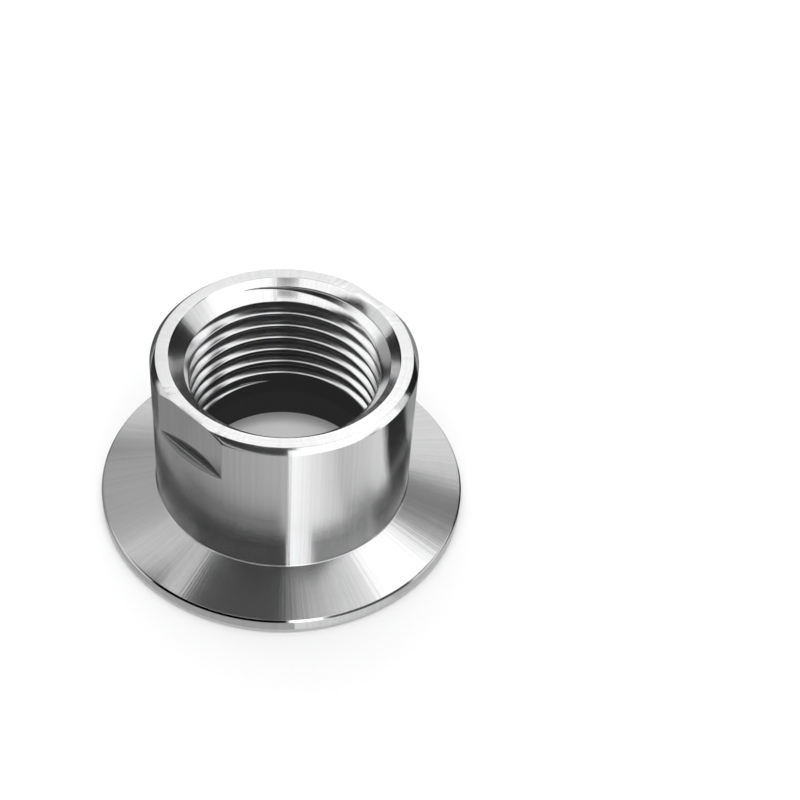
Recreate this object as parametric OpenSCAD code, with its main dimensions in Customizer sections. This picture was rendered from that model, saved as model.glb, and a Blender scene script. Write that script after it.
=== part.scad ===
// Vacuum flange adapter: a DN 40 clamp flange turned in one piece with a hub
// that has a female taper pipe thread and two wrench flats.
// Units are millimetres. The part stands on its sealing face at z = 0, its axis
// is Z, and the threaded mouth points up. The flats face -Y and +Y.

/* [Flange] */
// Outside diameter of the clamping flange
flange_d = 55; // [52:0.5:60]
// Height of the cylindrical rim of the flange
rim_h = 2.6; // [1.6:0.1:3.4]
// Slope of the clamping taper on the back of the flange, in degrees
taper_angle = 15; // [12:1:18]
// Chamfer on both edges of the rim
rim_chamfer = 0.25; // [0.1:0.05:0.5]

/* [Centring recess] */
// Diameter of the recess that seats the centring ring
recess_d = 41.2; // [38:0.2:46]
// Depth of the recess below the sealing face
recess_depth = 2.8; // [2:0.1:3.2]
// Radius in the corner of the recess floor
recess_corner_r = 0.8; // [0.2:0.1:1.4]

/* [Hub] */
// Overall height from the sealing face to the mouth
adapter_h = 29; // [26:0.5:45]
// Diameter of the hub
hub_d = 38.3; // [37.5:0.1:42]
// Chamfer round the outer top edge of the hub
hub_chamfer = 0.8; // [0.3:0.1:1.2]
// Radius of the fillet where the hub meets the taper
foot_r = 0.25; // [0.15:0.05:1.5]

/* [Wrench flats] */
// Width across the two flats
flats_w = 36; // [35:0.1:37]
// Height of the flats, measured down from the mouth
flats_h = 7.8; // [4:0.2:14]
// Radius that the cutter leaves at the foot of each flat
flats_corner_r = 0.3; // [0.1:0.1:1]

/* [Bore and mouth] */
// Diameter of the bore, which is also the tapping size of the thread
bore_d = 27.4; // [27.2:0.1:28.4]
// Chamfer where the bore opens into the recess
bore_chamfer = 0.2; // [0.1:0.05:0.6]
// Diameter of the 45 degree countersink at the mouth
mouth_d = 33.1; // [32.4:0.1:34]

/* [Thread] */
// Threads to the inch
thread_tpi = 10; // [9.5:0.5:11]
// Diameter over the roots of the thread, at the mouth
thread_root_d = 30.7; // [29.8:0.1:30.8]
// Depth below the mouth at which the thread runs out
thread_depth = 18.8; // [12:0.2:22]
// Direction in which it runs out, in degrees about Z
thread_end_angle = 146; // [0:2:360]
// Part of a turn over which the groove fades to nothing, in degrees
thread_runout = 60; // [30:15:180]

/* [Hidden] */
steel = [0.78, 0.78, 0.79];
// Overlap that carries a cut past the face it leaves
cut = 1;
$fn = 180;

flange_r = flange_d / 2;
hub_r = hub_d / 2;
bore_r = bore_d / 2;
mouth_r = mouth_d / 2;
recess_r = recess_d / 2;

thread_pitch = 25.4 / thread_tpi;
// Half of the 60 degree angle between the flanks
thread_flank = 30;
// Taper of 1 in 16 on the diameter, as a change of radius
thread_taper = 1 / 32;
// Half the width of the flat at the bottom of the groove
thread_root_w = 0.05;
// The groove starts this far above the mouth, where the countersink holds it
thread_lead = 0.5;
// The cutter's inner edge stands this far inside the bore
thread_inset = 0.04;
// Sections in one turn of the thread cutter
thread_sections = 48;

// Height of the clamping taper at radius r
function taper_z(r) = rim_h + (flange_r - r) * tan(taper_angle);

// Outline of the solid blank: rim, clamping taper, foot fillet and hub
module blank_outline() {
    fillet_r = hub_r + foot_r;
    touch_r = fillet_r - foot_r * sin(taper_angle);
    fillet_z = taper_z(touch_r) + foot_r * cos(taper_angle);
    difference() {
        polygon([
            [0, 0],
            [flange_r - rim_chamfer, 0],
            [flange_r, rim_chamfer],
            [flange_r, rim_h - rim_chamfer],
            [flange_r - rim_chamfer, taper_z(flange_r - rim_chamfer)],
            [touch_r, taper_z(touch_r)],
            [fillet_r, fillet_z],
            [hub_r, fillet_z],
            [hub_r, adapter_h - hub_chamfer],
            [hub_r - hub_chamfer, adapter_h],
            [0, adapter_h],
        ]);
        translate([fillet_r, fillet_z]) circle(r = foot_r);
    }
}

// Outline of the way through: countersunk mouth, bore and its lower chamfer
module bore_outline() {
    floor_z = recess_depth;
    polygon([
        [0, -cut],
        [bore_r + bore_chamfer, -cut],
        [bore_r + bore_chamfer, floor_z],
        [bore_r, floor_z + bore_chamfer],
        [bore_r, adapter_h - (mouth_r - bore_r)],
        [mouth_r, adapter_h],
        [mouth_r, adapter_h + cut],
        [0, adapter_h + cut],
    ]);
}

// Outline of the recess for the centring ring, with its rounded corner
module recess_outline() {
    corner = [recess_r - recess_corner_r, recess_depth - recess_corner_r];
    translate([0, -cut]) square([recess_r, corner.y + cut]);
    square([corner.x, recess_depth]);
    translate(corner) circle(r = recess_corner_r);
}

// The turned blank with its bore and recess
module turned_body() {
    rotate_extrude()
        difference() {
            blank_outline();
            bore_outline();
            recess_outline();
        }
}

// Cutter for the flat on the +Y side, with a rounded lower edge
module flat_cutter() {
    floor_z = adapter_h - flats_h;
    rotate([90, 0, 90])
        translate([0, 0, -hub_r])
            linear_extrude(height = hub_d)
                union() {
                    translate([flats_w / 2, floor_z + flats_corner_r])
                        square([hub_r, flats_h + cut]);
                    translate([flats_w / 2 + flats_corner_r, floor_z])
                        square([hub_r, flats_h + cut]);
                    translate([flats_w / 2 + flats_corner_r, floor_z + flats_corner_r])
                        circle(r = flats_corner_r);
                }
}

// Radius of the thread's root where the middle of the groove is at height z
function thread_root_r(z) = thread_root_d / 2 - (adapter_h - z) * thread_taper;

// Section of the groove at angle a, its middle at height z and its root at r
function groove_section(a, z, r) =
    let (
        r_in = bore_r - thread_inset,
        w_in = thread_root_w + (r - r_in) * tan(thread_flank)
    )
    [for (p = [[r_in, -w_in], [r, -thread_root_w], [r, thread_root_w], [r_in, w_in]])
        [p.x * cos(a), p.x * sin(a), z + p.y]];

// Cutter for the right-hand thread, wound from its run-out up past the mouth
module thread_cutter() {
    steps = ceil((thread_depth + thread_lead) / thread_pitch * thread_sections);
    step_angle = 360 / thread_sections;
    sections = [for (i = [0:steps])
        let (
            z = adapter_h - thread_depth + i * thread_pitch / thread_sections,
            fade = min(1, (i + 0.5) * step_angle / thread_runout),
            r = bore_r + (thread_root_r(z) - bore_r) * fade
        )
        groove_section(thread_end_angle + i * step_angle, z, r)];
    sides = [for (i = [0:steps - 1], k = [0:3])
        let (a = 4 * i + k, b = 4 * i + (k + 1) % 4)
        each [[a, b, b + 4], [a, b + 4, a + 4]]];
    first_cap = [3, 2, 1, 0];
    last_cap = [for (k = first_cap) 4 * steps + 3 - k];
    polyhedron([for (s = sections) each s], concat([first_cap], sides, [last_cap]));
}

module adapter_body() {
    color(steel)
        difference() {
            turned_body();
            flat_cutter();
            mirror([0, 1, 0]) flat_cutter();
            thread_cutter();
        }
}

adapter_body();
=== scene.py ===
"""Vacuum flange adapter: the turned steel piece, its finish, studio and camera."""
import bmesh
import bpy
import math
from mathutils import Matrix, Vector


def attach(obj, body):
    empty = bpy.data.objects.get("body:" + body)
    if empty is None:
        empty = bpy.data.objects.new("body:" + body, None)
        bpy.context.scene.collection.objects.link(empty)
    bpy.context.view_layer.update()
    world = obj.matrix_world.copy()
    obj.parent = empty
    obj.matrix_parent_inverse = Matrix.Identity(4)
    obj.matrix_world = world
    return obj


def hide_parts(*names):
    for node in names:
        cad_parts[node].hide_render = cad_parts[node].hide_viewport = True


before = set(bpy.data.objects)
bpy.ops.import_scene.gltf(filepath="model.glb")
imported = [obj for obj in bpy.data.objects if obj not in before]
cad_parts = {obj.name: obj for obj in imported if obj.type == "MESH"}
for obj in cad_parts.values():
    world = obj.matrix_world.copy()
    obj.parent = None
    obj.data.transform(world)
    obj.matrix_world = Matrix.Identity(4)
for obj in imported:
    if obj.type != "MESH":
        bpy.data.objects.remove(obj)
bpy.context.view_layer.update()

MM = 0.001

# Sizes of the part in millimetres, as in its source apart from the root of the thread
FLANGE_R = 27.5
RIM_H = 2.6
RIM_CHAMFER = 0.25
TAPER_SLOPE = math.tan(math.radians(15))
RECESS_R = 20.6
RECESS_DEPTH = 2.8
RECESS_CORNER_R = 0.8
ADAPTER_H = 29.0
HUB_R = 19.15
HUB_CHAMFER = 0.8
FOOT_R = 0.25
FLAT_Y = 18.0
FLATS_H = 7.8
FLATS_CORNER_R = 0.3
BORE_R = 13.7
BORE_CHAMFER = 0.2
MOUTH_R = 16.55

# The thread, a right-hand helix whose groove runs out at THREAD_END. Its root lies 0.25 mm
# deeper than in the source, because the photo's first groove cuts into the countersink.
PITCH = 2.54
THREAD_ROOT_R = 15.6
THREAD_TAPER = 1 / 32
THREAD_END_Z = ADAPTER_H - 18.8
THREAD_END = math.radians(146)
THREAD_RUNOUT = math.radians(60)
FLANK_TAN = math.tan(math.radians(30))
ROOT_HALF = 0.05

# How finely the mesh follows the form: counts, an angle in radians, WELD in metres, radii in mm
COLUMNS = 320
LEAST_STEP = 0.003
WELD = 2e-7
LARGE_FACE_WEIGHT = 80
EDGE_R = 0.07
INNER_EDGE_R = 0.05
EDGE_STEPS = 3
ROUND_STEPS = 7
FLANK_STEPS = 4
CREST_STEPS = 5
CREST_EDGE = 0.11
CREST_SOFT = 0.45

# Finishes, in the order of the mesh's material slots
TURNED, TAPER, LAND, EDGE, MILLED, LEDGE, THREADED, BORE, MOUTH = range(9)


def taper_z(r):
    """Height of the clamping taper at radius r."""
    return RIM_H + (FLANGE_R - r) * TAPER_SLOPE


def corner_points(before, here, after, radius, steps):
    """The arc of steps + 1 points that rounds one corner of an outline."""
    back, on = before - here, after - here
    if radius == 0 or min(back.length, on.length) < 1e-3:
        return [here] * (steps + 1)
    half = back.angle(on) / 2
    reach = min(radius / math.tan(half), 0.45 * back.length, 0.45 * on.length)
    centre = here + (back.normalized() + on.normalized()).normalized() * (reach / math.cos(half))
    start = here + back.normalized() * reach - centre
    end = here + on.normalized() * reach - centre
    turn = math.atan2(start.x * end.y - start.y * end.x, start.dot(end))
    return [centre + Matrix.Rotation(turn * k / steps, 2) @ start for k in range(steps + 1)]


def outside(angle):
    """Rows (r, z, finish) at one angle, from the bore's lower edge round to the countersink."""
    flat_r = FLAT_Y / max(abs(math.sin(angle)), 1e-6)
    wall_r = min(HUB_R, flat_r)
    land_r = min(HUB_R - HUB_CHAMFER, flat_r - EDGE_R)
    ledge_z = ADAPTER_H - FLATS_H
    flat = flat_r < HUB_R
    corners = [
        (BORE_R, RECESS_DEPTH + BORE_CHAMFER, INNER_EDGE_R, EDGE, EDGE_STEPS),
        (BORE_R + BORE_CHAMFER, RECESS_DEPTH, INNER_EDGE_R, LAND, EDGE_STEPS),
        (RECESS_R, RECESS_DEPTH, RECESS_CORNER_R, EDGE, ROUND_STEPS),
        (RECESS_R, 0, EDGE_R, LAND, EDGE_STEPS),
        (FLANGE_R - RIM_CHAMFER, 0, EDGE_R, EDGE, EDGE_STEPS),
        (FLANGE_R, RIM_CHAMFER, EDGE_R, TURNED, EDGE_STEPS),
        (FLANGE_R, RIM_H - RIM_CHAMFER, EDGE_R, EDGE, EDGE_STEPS),
        (FLANGE_R - RIM_CHAMFER, taper_z(FLANGE_R - RIM_CHAMFER), EDGE_R, TAPER, EDGE_STEPS),
        (HUB_R, taper_z(HUB_R), FOOT_R, TURNED, ROUND_STEPS),
        (HUB_R, ledge_z, EDGE_R, LEDGE if flat else TURNED, EDGE_STEPS),
        (wall_r, ledge_z, FLATS_CORNER_R, MILLED if flat else TURNED, ROUND_STEPS),
        (wall_r, ADAPTER_H - (wall_r - land_r), EDGE_R, EDGE, EDGE_STEPS),
        (land_r, ADAPTER_H, EDGE_R, LAND, EDGE_STEPS),
        (MOUTH_R, ADAPTER_H, EDGE_R, EDGE, EDGE_STEPS),
    ]
    spots = [Vector(c[:2]) for c in corners]
    first = Vector((BORE_R, RECESS_DEPTH + 2 * BORE_CHAMFER))
    last = Vector((MOUTH_R - 2 * EDGE_R, ADAPTER_H - 2 * EDGE_R))
    rows = []
    for i, (here, corner) in enumerate(zip(spots, corners)):
        before = spots[i - 1] if i else first
        after = spots[i + 1] if i + 1 < len(spots) else last
        arc = corner_points(before, here, after, corner[2], corner[4])
        # The rounded corner between a ledge and its flat takes the ledge's darkened steel: painted
        # shade that hides its highlight
        arc_finish = LEDGE if corner[3] == MILLED else corner[3]
        rows += [(p.x, p.y, arc_finish) for p in arc[:-1]]
        rows.append((arc[-1].x, arc[-1].y, corner[3]))
    return rows + [(last.x, last.y, MOUTH)]


def groove_span(centre, depth, half):
    """Heights from the groove's middle at which it leaves the wall, below and above, or None."""
    rise = 1 / FLANK_TAN
    mouth = MOUTH_R - ADAPTER_H + centre - BORE_R
    low = max(-half, (mouth - half * rise) / (rise - 1))
    if depth <= 0 or low >= -ROOT_HALF:
        return None
    high = min(half, (half * rise - mouth) / (rise + 1))
    if high < ROOT_HALF:
        high = depth - mouth
    return low, high


def thread_column(angle, first_centre, turns, top_z, low_z):
    """Rows of the bore at one angle: every turn has the same rows, set on its groove."""
    corner_z = ADAPTER_H - (MOUTH_R - BORE_R)

    def wall(z):
        return max(BORE_R, MOUTH_R - (ADAPTER_H - z))

    rows = []
    above = top_z
    for turn in range(turns):
        centre = first_centre + PITCH * angle / math.tau - turn * PITCH
        past_end = (centre - THREAD_END_Z) / PITCH * math.tau
        fade = max(0.0, min(1.0, past_end / THREAD_RUNOUT))
        depth = (THREAD_ROOT_R - (ADAPTER_H - centre) * THREAD_TAPER - BORE_R) * fade
        half = ROOT_HALF + depth * FLANK_TAN
        span = groove_span(centre, depth, half)
        if span:
            low, high = span
            edge = min(CREST_EDGE, 0.2 * (high - low))
            soft = min(CREST_SOFT, 0.4 * (-ROOT_HALF - low))

            def groove(u):
                return Vector((BORE_R + min(depth, (half - abs(u)) / FLANK_TAN), centre + u))

            def crest(u, out, into):
                """Points that round the edge at u, from the wall into the groove."""
                z = centre + u + out
                start, tip, end = Vector((wall(z), z)), groove(u), groove(u + into)
                steps = [k / CREST_STEPS for k in range(CREST_STEPS + 1)]
                return [start * (1 - t) ** 2 + tip * 2 * t * (1 - t) + end * t * t for t in steps]

            upper, lower = crest(high, edge, -edge), crest(low, -edge, soft)
            top, foot = high - edge, low + soft
            into = [top + (ROOT_HALF - top) * k / FLANK_STEPS for k in range(1, FLANK_STEPS + 1)]
            out_of = [-ROOT_HALF + (foot + ROOT_HALF) * k / FLANK_STEPS for k in range(FLANK_STEPS)]
            section = upper + [groove(u) for u in into] + [groove(u) for u in out_of] + lower[::-1]
        else:
            z = centre - ROOT_HALF
            section = [Vector((wall(z), z))] * (2 * CREST_STEPS + 2 * FLANK_STEPS + 2)
        kept = []
        for spot in section:
            z = max(low_z, min(top_z, spot.y))
            kept.append((spot.x if z == spot.y else wall(z), z, THREADED))
        between = max(kept[0][1], min(above, corner_z))
        rows.append((wall(between), between, MOUTH if kept[0][1] >= corner_z else THREADED))
        rows += kept
        above = kept[-1][1]
        if above > corner_z:
            rows[-1] = (*rows[-1][:2], MOUTH)
    return rows


def column_angles():
    """Even steps round the axis, with a column on each line where a flat meets the turned form."""
    angles = {math.tau * i / COLUMNS for i in range(COLUMNS)}
    for r in (HUB_R, HUB_R - HUB_CHAMFER / 2, HUB_R - HUB_CHAMFER):
        edge = math.asin(FLAT_Y / r) if r > FLAT_Y else math.pi / 2
        for side in (edge, math.pi - edge, math.pi + edge, math.tau - edge):
            angles = {a for a in angles if abs(a - side) > LEAST_STEP} | {side}
    return sorted(angles)


def build_adapter():
    """The whole turned piece as one closed mesh of columns round its axis."""
    top_z = ADAPTER_H - 2 * EDGE_R
    low_z = THREAD_END_Z - PITCH
    first_centre = THREAD_END_Z - PITCH * THREAD_END / math.tau
    first_centre += PITCH * math.ceil((top_z + PITCH - first_centre) / PITCH)
    turns = math.ceil((first_centre - low_z) / PITCH) + 3
    bm = bmesh.new()
    angles = column_angles()
    columns = []
    for angle in angles:
        shell = outside(angle)
        bore = thread_column(angle, first_centre, turns, top_z, low_z)
        columns.append((shell, bore))
    rows_per_turn = len(columns[0][1]) // turns

    def ring(shell, bore, angle):
        x, y = MM * math.cos(angle), MM * math.sin(angle)
        spots = [bm.verts.new((r * x, r * y, z * MM)) for r, z, finish in shell + bore]
        return spots[:len(shell)], spots[len(shell):]

    rings = [ring(shell, bore, angle) for (shell, bore), angle in zip(columns, angles)]

    def face(a, b, c, d, finish):
        corners = list(dict.fromkeys((a, b, c, d)))
        if len(corners) > 2:
            made = bm.faces.new(corners)
            made.material_index = finish
            made.smooth = True

    count = len(angles)
    for i in range(count):
        shell_a, bore_a = rings[i]
        shell_b, bore_b = rings[(i + 1) % count]
        if i == count - 1:
            bore_b = [bore_b[max(0, k - rows_per_turn)] for k in range(len(bore_b))]
        near, far = columns[i][0], columns[(i + 1) % count][0]
        for k in range(len(shell_a) - 1):
            finish = near[k][2] if near[k][2] == far[k][2] else TURNED
            face(shell_a[k], shell_b[k], shell_b[k + 1], shell_a[k + 1], finish)
        face(shell_a[-1], shell_b[-1], bore_b[0], bore_a[0], MOUTH)
        for k in range(len(bore_a) - 1):
            face(bore_a[k], bore_b[k], bore_b[k + 1], bore_a[k + 1], columns[i][1][k][2])
        face(bore_a[-1], bore_b[-1], shell_b[0], shell_a[0], BORE)
    bmesh.ops.remove_doubles(bm, verts=bm.verts, dist=WELD)
    bmesh.ops.dissolve_degenerate(bm, edges=bm.edges, dist=WELD)
    bmesh.ops.recalc_face_normals(bm, faces=bm.faces)
    mesh = bpy.data.meshes.new("adapter")
    bm.to_mesh(mesh)
    bm.free()
    piece = bpy.data.objects.new("adapter", mesh)
    bpy.context.scene.collection.objects.link(piece)
    weigh = piece.modifiers.new("even_shading", "WEIGHTED_NORMAL")
    weigh.weight = LARGE_FACE_WEIGHT
    return piece


class Nodes:
    """A short way to write a material's or the world's node tree."""

    def __init__(self, owner):
        owner.use_nodes = True
        self.tree = owner.node_tree
        self.tree.nodes.clear()

    def add(self, kind, settings=None, **inputs):
        node = self.tree.nodes.new(kind)
        for name, value in (settings or {}).items():
            setattr(node, name, value)
        for name, value in inputs.items():
            self.feed(node, name.replace("_", " "), value)
        return node

    def feed(self, node, name, value):
        numbered = name[:1] == "i" and name[1:].isdigit()
        socket = node.inputs[int(name[1:]) if numbered else name]
        if isinstance(value, bpy.types.NodeSocket):
            self.tree.links.new(value, socket)
        else:
            socket.default_value = value

    def math(self, operation, a, b=0.0):
        return self.add("ShaderNodeMath", {"operation": operation}, i0=a, i1=b).outputs[0]


def turned_coordinates(nodes):
    """Angle round the axis, radius and height of the shaded point."""
    place = nodes.add("ShaderNodeTexCoord").outputs["Object"]
    parts = nodes.add("ShaderNodeSeparateXYZ", Vector=place).outputs
    angle = nodes.math("ARCTAN2", parts["Y"], parts["X"])
    squares = [nodes.math("MULTIPLY", parts[k], parts[k]) for k in ("X", "Y")]
    return angle, nodes.math("SQRT", nodes.math("ADD", *squares)), parts["Z"]


def steel(name, colour, roughness, anisotropy, ring_bump, streak_bump):
    """Turned stainless steel: fine rings from the tool and faint streaks across them.

    The grain runs round the axis, so its highlights spread across it.
    """
    material = bpy.data.materials.new(name)
    nodes = Nodes(material)
    angle, radius, height = turned_coordinates(nodes)
    across = nodes.add("ShaderNodeCombineXYZ", X=radius, Y=height, Z=0.0).outputs[0]
    rings = nodes.add("ShaderNodeTexNoise", {"noise_dimensions": "2D"}, Vector=across,
                      Scale=1 / RING_WIDTH, Detail=3.0, Roughness=0.6).outputs["Fac"]
    cosine, sine = nodes.math("COSINE", angle), nodes.math("SINE", angle)
    round_axis = nodes.add("ShaderNodeCombineXYZ", X=cosine, Y=sine, Z=0.0).outputs[0]
    streaks = nodes.add("ShaderNodeTexNoise", {"noise_dimensions": "3D"}, Vector=round_axis,
                        Scale=40.0, Detail=4.0, Roughness=0.65).outputs["Fac"]
    ringed = nodes.add("ShaderNodeBump", Strength=ring_bump, Distance=RING_DEPTH,
                       Height=rings).outputs[0]
    bumped = nodes.add("ShaderNodeBump", Strength=streak_bump, Distance=STREAK_DEPTH,
                       Height=streaks, Normal=ringed).outputs[0]
    uneven = nodes.add("ShaderNodeMapRange", Value=rings, From_Min=0.3, From_Max=0.7,
                       To_Min=roughness * 0.88, To_Max=roughness * 1.12).outputs[0]
    tint = nodes.add("ShaderNodeMapRange", Value=streaks, From_Min=0.3, From_Max=0.7,
                     To_Min=0.90, To_Max=1.0).outputs[0]
    shade = nodes.add("ShaderNodeMix", {"data_type": "RGBA", "blend_type": "MULTIPLY"})
    nodes.feed(shade, "i0", 1.0)
    nodes.feed(shade, "i6", (*colour, 1.0))
    grey = nodes.add("ShaderNodeCombineColor", Red=tint, Green=tint, Blue=tint).outputs[0]
    nodes.feed(shade, "i7", grey)
    shader = nodes.add("ShaderNodeBsdfPrincipled", Base_Color=shade.outputs[2], Metallic=1.0,
                       Roughness=uneven, Anisotropic=anisotropy,
                       Anisotropic_Rotation=GRAIN_TURN, Normal=bumped)
    if anisotropy:
        tangent = nodes.add("ShaderNodeTangent", {"direction_type": "RADIAL", "axis": "Z"})
        nodes.feed(shader, "Tangent", tangent.outputs[0])
    nodes.add("ShaderNodeOutputMaterial", Surface=shader.outputs[0])
    return material


def seen_or_mirrored(nodes):
    """One for rays of the camera, of reflections and of refractions, zero for the rest."""
    path = nodes.add("ShaderNodeLightPath").outputs
    bent = nodes.math("MAXIMUM", path["Is Glossy Ray"], path["Is Transmission Ray"])
    return nodes.math("MAXIMUM", path["Is Camera Ray"], bent)


def floor_surface(name, colour, lift):
    """A matt floor that the camera sees a little brighter, so that it meets the white background."""
    material = bpy.data.materials.new(name)
    nodes = Nodes(material)
    camera_ray = nodes.add("ShaderNodeLightPath").outputs["Is Camera Ray"]
    place = nodes.add("ShaderNodeTexCoord").outputs["Object"]
    grain = nodes.add("ShaderNodeTexNoise", Vector=place, Scale=900.0, Detail=2.0).outputs["Fac"]
    bump = nodes.add("ShaderNodeBump", Strength=0.02, Distance=0.0001, Height=grain).outputs[0]
    matt = nodes.add("ShaderNodeBsdfDiffuse", Color=(*colour, 1.0), Normal=bump).outputs[0]
    strength = nodes.math("MULTIPLY", camera_ray, lift)
    added = nodes.add("ShaderNodeEmission", Color=(1, 1, 1, 1), Strength=strength).outputs[0]
    both = nodes.add("ShaderNodeAddShader", i0=matt, i1=added).outputs[0]
    nodes.add("ShaderNodeOutputMaterial", Surface=both)
    return material


def card_surface(name, tones, fades):
    """A tone that runs from one to the other across the panel and may fade at its four edges."""
    material = bpy.data.materials.new(name)
    nodes = Nodes(material)
    place = nodes.add("ShaderNodeTexCoord").outputs["UV"]
    across = nodes.add("ShaderNodeSeparateXYZ", Vector=place).outputs
    u, v = across["X"], across["Y"]
    tone = nodes.add("ShaderNodeMapRange", Value=u, To_Min=tones[0], To_Max=tones[1]).outputs[0]
    light = nodes.add("ShaderNodeEmission", Color=(1, 1, 1, 1), Strength=tone).outputs[0]
    solid = 1.0
    inwards = (u, nodes.math("SUBTRACT", 1.0, u), v, nodes.math("SUBTRACT", 1.0, v))
    for inward, fade in zip(inwards, fades):
        if fade:
            ramp = nodes.add("ShaderNodeMapRange", {"interpolation_type": "SMOOTHSTEP"},
                             Value=inward, From_Max=fade).outputs[0]
            solid = nodes.math("MULTIPLY", ramp, solid)
    clear = nodes.add("ShaderNodeBsdfTransparent").outputs[0]
    mixed = nodes.add("ShaderNodeMixShader", i0=solid, i1=clear, i2=light).outputs[0]
    nodes.add("ShaderNodeOutputMaterial", Surface=mixed)
    return material


def set_world():
    """White where it is seen or mirrored, softer as a light."""
    world = bpy.data.worlds.new("studio")
    bpy.context.scene.world = world
    nodes = Nodes(world)
    strength = nodes.add("ShaderNodeMapRange", Value=seen_or_mirrored(nodes),
                         From_Min=0.0, From_Max=1.0,
                         To_Min=WORLD_LIGHT, To_Max=1.0).outputs[0]
    back = nodes.add("ShaderNodeBackground", Color=(1, 1, 1, 1), Strength=strength).outputs[0]
    nodes.add("ShaderNodeOutputWorld", Surface=back)


def panel(name, point, tones, fades):
    """A panel whose points are point(u, v). It shows in reflections only and lights nothing."""
    columns, rows = 32, 12
    mesh = bpy.data.meshes.new(name)
    places = [(i / columns, j / rows) for j in range(rows + 1) for i in range(columns + 1)]
    quads = []
    for j in range(rows):
        for i in range(columns):
            k = j * (columns + 1) + i
            quads.append((k, k + 1, k + columns + 2, k + columns + 1))
    mesh.from_pydata([point(u, v) for u, v in places], [], quads)
    layer = mesh.uv_layers.new(name="across")
    for loop in mesh.loops:
        layer.data[loop.index].uv = places[loop.vertex_index]
    mesh.materials.append(card_surface(name, tones, fades))
    item = bpy.data.objects.new(name, mesh)
    item.visible_camera = False
    item.visible_diffuse = False
    item.visible_shadow = False
    bpy.context.scene.collection.objects.link(item)


def direction(azimuth, elevation):
    """A unit vector. Azimuths are seen from the camera: 0 right, 90 away, 180 left, 270 towards it."""
    a, e = math.radians(azimuth + VIEW_TURN), math.radians(elevation)
    return Vector((math.cos(a) * math.cos(e), math.sin(a) * math.cos(e), math.sin(e)))


def sky_card(name, azimuths, elevations, tones, fade=(0, 0, 0, 0), distance=0.8):
    """A curved panel over the part, between two azimuths and two elevations in degrees.

    fade is the width in degrees over which it fades at its first and last azimuth
    and at its lower and upper edge. A nearer panel hides the ones behind it.
    """
    wide, high = azimuths[1] - azimuths[0], elevations[1] - elevations[0]

    def point(u, v):
        return direction(azimuths[0] + wide * u, elevations[0] + high * v) * distance

    panel(name, point, tones, (fade[0] / wide, fade[1] / wide, fade[2] / high, fade[3] / high))


def floor_card(name, azimuths, radii, tones, fade=(0, 0), outer=0, height=0.4):
    """A sheet near the floor beside the part, between two azimuths and two radii.

    Radii and height are in millimetres, fade in degrees. outer is the part of its
    width over which the sheet fades towards its outer edge.
    """
    wide = azimuths[1] - azimuths[0]
    lift = Vector((0, 0, height)) * MM

    def point(u, v):
        radius = radii[0] + (radii[1] - radii[0]) * v
        return direction(azimuths[0] + wide * u, 0) * radius * MM + lift

    panel(name, point, tones, (fade[0] / wide, fade[1] / wide, 0, outer))


def near_card(name, places, radius, height, azimuths, elevations, tones, distance,
              fades=(0.06, 0.02, 0.06, 0.06)):
    """A curved panel close to the part, laid out for the surface from places[0] to places[1].

    That surface lies at a radius and height in millimetres, and its mirrored rays turn
    from azimuths[0] to azimuths[1] as the place goes round the axis. fades are the parts
    of the panel's width and height over which its four edges fade.
    """
    def point(u, v):
        place = direction(places[0] + (places[1] - places[0]) * u, 0) * radius + Vector((0, 0, height))
        azimuth = azimuths[0] + (azimuths[1] - azimuths[0]) * u
        elevation = elevations[0] + (elevations[1] - elevations[0]) * v
        return place * MM + direction(azimuth, elevation) * distance

    panel(name, point, tones, fades)


def soft_light(name, azimuth, elevation, size, watts, distance=0.6):
    """A square soft lamp that lights the floor and that no reflection shows."""
    towards = direction(azimuth, elevation)
    data = bpy.data.lights.new(name, "AREA")
    data.size = size
    data.energy = watts
    lamp = bpy.data.objects.new(name, data)
    lamp.location = towards * distance
    lamp.rotation_euler = towards.to_track_quat("Z", "Y").to_euler()
    lamp.visible_glossy = False
    bpy.context.scene.collection.objects.link(lamp)


def set_camera():
    """The photograph's view, found from the ellipses of the flange, the mouth and the thread."""
    right = Vector((0.72347, 0.6874, 0.06382))
    up = Vector((-0.52142, 0.48351, 0.70309))
    back = Vector((0.45244, -0.54195, 0.70823))
    data = bpy.data.cameras.new("camera")
    data.sensor_width = 36.0
    data.lens = CAMERA_LENS
    data.clip_start, data.clip_end = 0.01, 10.0
    camera = bpy.data.objects.new("camera", data)
    turn = Matrix((right, up, back)).transposed().to_4x4()
    camera.matrix_world = Matrix.Translation(Vector(CAMERA_PLACE) * MM) @ turn
    bpy.context.scene.collection.objects.link(camera)
    bpy.context.scene.camera = camera


# The camera's lens and place in millimetres, and the angle from view azimuths to the part's
CAMERA_LENS = 71.93
CAMERA_PLACE = (118.08, -115.14, 186.33)
VIEW_TURN = 45.6

# Strength of the world as a light, the floor's size and height in metres and its lift of tone
WORLD_LIGHT = 0.6
FLOOR_SIZE = 2.0
FLOOR_Z = -0.05 * MM
FLOOR_LIFT = 0.15

# Colours of the steel, one lighter with painted light and two darker with painted shade, the width and
# depths of its grain in metres, and the grain's quarter turn
STEEL = (0.68, 0.68, 0.685)
# The faced faces, the top land among them, get a lighter copy of the steel: painted light
FACED_STEEL_PAINTED_LIGHT = (0.74, 0.74, 0.745)
# The ledge under each flat and its rounded corner get a far darker copy of the steel: painted shade
LEDGE_STEEL_PAINTED_SHADE = (0.24, 0.24, 0.243)
# The thread inside the bore gets a darker copy of the steel: painted shade
THREAD_STEEL_PAINTED_SHADE = (0.60, 0.60, 0.605)
RING_WIDTH = 0.00012
RING_DEPTH = 0.00002
STREAK_DEPTH = 0.0002
GRAIN_TURN = 0.25

set_camera()
set_world()

adapter = build_adapter()
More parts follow.
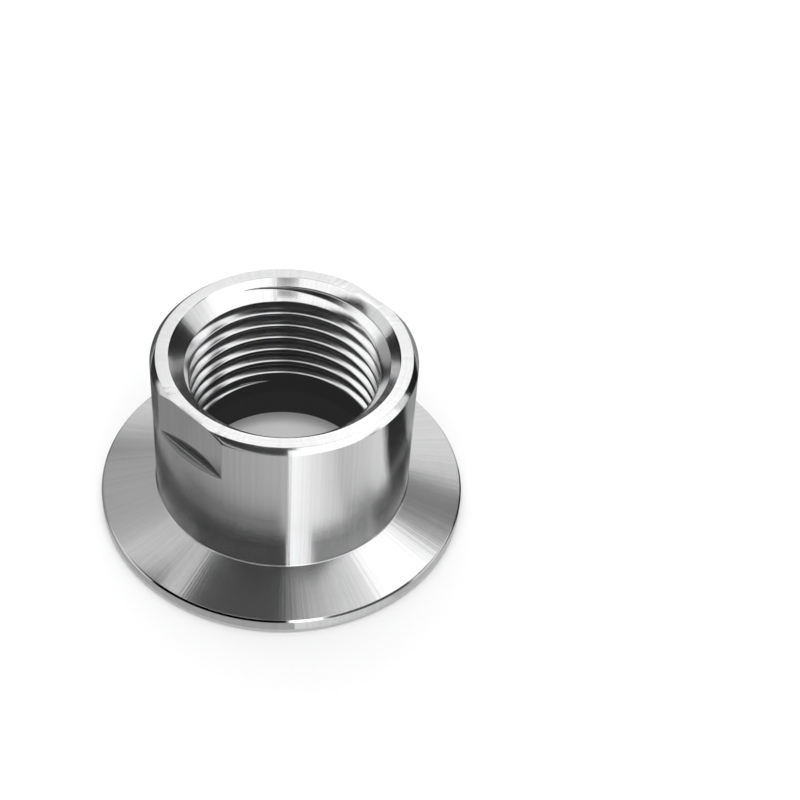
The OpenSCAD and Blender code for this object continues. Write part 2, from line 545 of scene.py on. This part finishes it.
# Name, colour, roughness, anisotropy, ring bump and streak bump, in the order of the slots
for finish in (
    steel("turned_steel", STEEL, 0.14, 1.0, 0.01, 0.06),
    steel("taper_steel", STEEL, 0.15, 0.85, 0.02, 0.04),
    # Painted light: the faced steel is lighter than the turned steel
    steel("faced_steel_painted_light", FACED_STEEL_PAINTED_LIGHT, 0.23, 0.6, 0.03, 0.02),
    steel("edge_steel", STEEL, 0.10, 0.5, 0.02, 0.03),
    steel("milled_steel", STEEL, 0.10, 0.0, 0.02, 0.0),
    # Painted shade: the ledge's steel is far darker than the rest of the piece
    steel("ledge_steel_painted_shade", LEDGE_STEEL_PAINTED_SHADE, 0.22, 0.0, 0.02, 0.0),
    # Painted shade: the thread's steel is darker than the turned steel
    steel("thread_steel_painted_shade", THREAD_STEEL_PAINTED_SHADE, 0.16, 0.3, 0.0, 0.01),
    steel("bore_steel", STEEL, 0.15, 0.7, 0.02, 0.03),
    steel("mouth_steel", STEEL, 0.16, 0.3, 0.02, 0.05),
):
    adapter.data.materials.append(finish)
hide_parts("adapter_body")
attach(adapter, "root")

floor_mesh = bpy.data.meshes.new("floor")
floor_corners = [(x * FLOOR_SIZE, y * FLOOR_SIZE, 0)
                 for x, y in ((-1, -1), (1, -1), (1, 1), (-1, 1))]
floor_mesh.from_pydata(floor_corners, [], [(0, 1, 2, 3)])
floor_mesh.materials.append(floor_surface("pale_floor", (0.8, 0.8, 0.8), FLOOR_LIFT))
floor = bpy.data.objects.new("floor", floor_mesh)
floor.location.z = FLOOR_Z
bpy.context.scene.collection.objects.link(floor)

soft_light("back_lamp", 100, 60, 0.5, 1.1)
soft_light("front_lamp", 270, 66, 0.5, 1.6)

# Panels of the studio, which only reflections show: flags are dark, panels bright,
# sheets by the floor
sky_card("flag_left", (200, 274.8), (-2, 34), (0.0, 0.0))
sky_card("flag_above", (180, 360), (60, 79.5), (0.005, 0.005), (3, 3, 3, 1.5), distance=0.75)
sky_card("flag_back_left", (75, 180), (66, 90), (0.085, 0.085), (0, 3, 4, 0), distance=0.75)
sky_card("flag_cap", (180, 262), (78, 90), (0.12, 0.12), (0, 0, 1, 0), distance=0.76)
sky_card("flag_back", (76, 106), (55.5, 66), (0.02, 0.02), (3, 3, 1.5, 2), distance=0.77)
sky_card("flag_camera", (254, 286), (45, 55), (0.25, 0.25), (9, 9, 2, 2), distance=0.78)
sky_card("panel_left", (180, 274.6), (35, 59), (1.5, 1.5), (4, 0, 2, 2), distance=0.82)
sky_card("panel_right", (275, 360), (28, 59), (1.6, 1.6), (0, 0, 0, 2), distance=0.82)
sky_card("grey_right", (292, 345), (-2, 27), (0.12, 0.12), (5, 5, 0, 3))
sky_card("panel_low_right", (346, 368), (14, 30), (1.5, 1.5), (2, 2, 2, 0), distance=0.83)
sky_card("flag_mouth_left", (-6, 15), (35, 51), (0.1, 0.1), (3, 2, 3, 3), distance=0.78)
sky_card("panel_right_low", (275, 292), (-2, 28), (2.5, 1.9))
sky_card("panel_top_right", (0, 16), (52, 90), (1.6, 1.6), (2, 0, 3, 0))
sky_card("panel_flank_left", (140, 184), (38, 62), (1.7, 1.7), (4, 4, 3, 3), distance=0.85)
sky_card("panel_flank_right", (18, 40), (38, 58), (1.7, 1.7), (4, 4, 3, 3), distance=0.85)
sky_card("glow_left", (131, 149), (49, 65), (0.68, 0.66), (4, 4, 4, 3), distance=0.775)
sky_card("panel_top_back", (16, 75), (54, 73), (1.9, 1.2), (0, 0, 3, 0), distance=0.83)
sky_card("rising_top", (16, 75), (66, 90), (1.25, 0.06), (0, 0, 5, 0))
sky_card("rising_cap", (262, 376), (78, 90), (0.08, 0.9), (0, 0, 1, 0), distance=0.76)
sky_card("panel_back_low", (72, 108), (35, 44.5), (1.05, 0.85), (6, 6, 3, 1))
sky_card("panel_back", (72, 108), (44, 57), (1.9, 2.0), (6, 6, 1, 1), distance=0.81)
sky_card("grey_back_right", (36, 76), (36.5, 54), (0.3, 0.25), (3, 3, 1, 3), distance=0.78)
sky_card("grey_back_left", (98, 150), (24, 68), (0.5, 0.55), (5, 5, 3, 4), distance=0.78)
sky_card("grey_low_left", (84, 112), (6, 36), (0.5, 0.5), (4, 4, 3, 3), distance=0.79)
sky_card("horizon_right", (17, 54), (-3, 31), (0.02, 0.02), (4, 5, 0, 5), distance=0.74)
sky_card("horizon_left", (120, 157), (-3, 31), (0.02, 0.02), (5, 4, 0, 5), distance=0.74)
floor_card("ring_left", (100, 274.5), (27.8, 29.6), (0.5, 0.5))
floor_card("ring_front", (274.5, 308), (27.8, 29.6), (0.95, 0.75))
floor_card("ring_right", (308, 460), (27.8, 29.6), (0.62, 0.6))
floor_card("sheet_far_left", (100, 165), (29.6, 400), (0.1, 0.14))
floor_card("sheet_left", (165, 195), (29.6, 400), (0.33, 0.33))
floor_card("sheet_near_left", (195, 274.5), (29.6, 400), (0.36, 0.64))
floor_card("sheet_front", (274.5, 308), (29.6, 400), (1.5, 0.8))
floor_card("sheet_near_right", (308, 348), (29.6, 400), (0.72, 1.0), (0, 4))
floor_card("shade_left", (185, 274.4), (29.6, 35.5), (0.0, 0.0), (30, 10), 1.0, 0.5)
floor_card("shade_right", (306, 336), (29.6, 32.5), (0.0, 0.0), (10, 10), 1.0, 0.5)
floor_card("sheet_right", (344, 373), (29.6, 400), (0.03, 0.03))
floor_card("sheet_far_right", (373, 440), (29.6, 400), (0.4, 0.3))
# A dark sheet under the bore, which its walls mirror: painted shade in their reflection of the floor
floor_card("shade_under_bore", (0, 360), (0, 20), (0.03, 0.03))
near_card("flag_ledge", (214, 235), FLAT_Y, ADAPTER_H - FLATS_H, (159, 198), (34, 57),
          (0.02, 0.02), 0.06)
near_card("flag_chamfer", (234, 272.6), HUB_R, ADAPTER_H, (203, 275), (34, 52),
          (0.015, 0.08), 0.05)
near_card("flag_foot_left", (196, 236), 22, 4, (132, 205), (6, 38),
          (0.06, 0.0), 0.06, (0.2, 0.1, 0.1, 0.3))
near_card("flag_foot_right", (304, 344), 22, 4, (335, 408), (6, 38),
          (0.1, 0.0), 0.06, (0.3, 0.12, 0.1, 0.4))

scene = bpy.context.scene
scene.view_settings.view_transform = "Standard"
